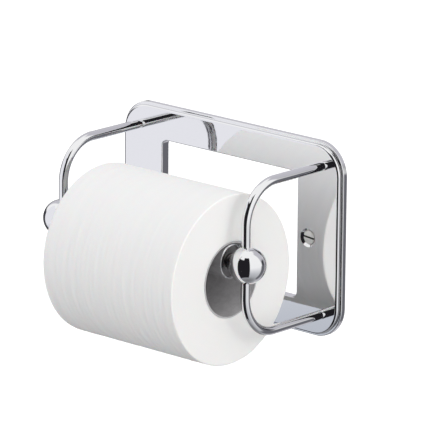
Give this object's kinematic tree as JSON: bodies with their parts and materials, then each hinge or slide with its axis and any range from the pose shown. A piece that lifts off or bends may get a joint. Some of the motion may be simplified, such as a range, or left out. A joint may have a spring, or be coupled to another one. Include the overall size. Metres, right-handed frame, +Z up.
{
  "type": "toilet paper holder",
  "caption": "Wall-mounted toilet paper holder: framed chrome plate, two wire arms with balls, a sprung telescopic roller and a paper roll.",
  "frame": {"origin": "centre of the back plate's back face, which lies on the wall, at the middle of the plate's opening", "axes": "+X to the right and +Z up for a person who faces the wall; +Y into the wall, so the arms and the roll stand out towards -Y"},
  "size_m": [0.1772, 0.1493, 0.1242],
  "materials": {
    "chrome": "polished",
    "steel": "satin",
    "screw_steel": "satin",
    "spring_steel": "satin",
    "nylon": "satin",
    "plug_nylon": "satin",
    "paper": "matte",
    "cardboard": "matte"
  },
  "bodies": {
    "holder": {"back_plate": "chrome", "left_wire_arm": "chrome", "right_wire_arm": "chrome", "left_ball": "chrome", "right_ball": "chrome", "left_wall_screw": "screw_steel", "right_wall_screw": "screw_steel", "left_wall_plug": "plug_nylon", "right_wall_plug": "plug_nylon", "left_ball_grub_screw": "steel", "right_ball_grub_screw": "steel", "left_upper_arm_screw": "steel", "left_lower_arm_screw": "steel", "right_upper_arm_screw": "steel", "right_lower_arm_screw": "steel"},
    "roller": {"roller_sleeve": "chrome", "roller_sleeve_cap": "chrome", "roller_sleeve_pin": "steel", "roller_spring": "spring_steel"},
    "plunger": {"roller_plunger": "chrome", "roller_plunger_cap": "chrome", "roller_plunger_pin": "steel", "roller_plunger_stop": "nylon"},
    "roll": {"paper_roll": "paper", "cardboard_core": "cardboard"}
  },
  "joints": [
    {"name": "roll_spin", "type": "hinge", "parent": "holder", "child": "roll", "pos_m": [0, -0.0725, -0.0124], "axis": [1, 0, 0], "continuous": true},
    {"name": "roller_spin", "type": "hinge", "parent": "holder", "child": "roller", "pos_m": [0, -0.0725, -0.001], "axis": [1, 0, 0], "continuous": true},
    {"name": "plunger_slide", "type": "slide", "parent": "roller", "child": "plunger", "axis": [1, 0, 0], "range_m": [0, 0.0065], "stiffness_N_per_m": 300, "springref_m": -0.02, "deforming": ["roller_spring"]}
  ],
  "couplings": [
    {"joint": "roller_spin", "follows": "roll_spin", "ratio": 2.125}
  ]
}
